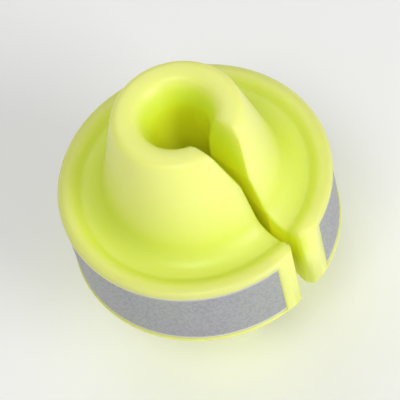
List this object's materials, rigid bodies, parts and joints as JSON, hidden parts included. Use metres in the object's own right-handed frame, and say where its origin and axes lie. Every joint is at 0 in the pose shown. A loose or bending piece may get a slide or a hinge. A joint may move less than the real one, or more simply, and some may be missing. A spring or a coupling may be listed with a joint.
{
  "type": "bicycle spoke reflector",
  "caption": "Clip-on spoke bead: a slit plastic bobbin with tapered noses slides on a wheel spoke and carries a band of reflective tape round its rim.",
  "frame": {"origin": "centre of the bore at the end of the nose that the bead stands on", "axes": "+Z along the bore, the way the spoke runs; the slit faces -Y"},
  "size_m": [0.012, 0.0119, 0.0136],
  "materials": {
    "bead_plastic": "fluorescent yellow, satin moulded",
    "reflective_tape": "silver-grey reflective film with a fine beaded grain"
  },
  "bodies": {
    "root": {"bead_body": "bead_plastic", "reflective_band": "reflective_tape"}
  },
  "joints": []
}
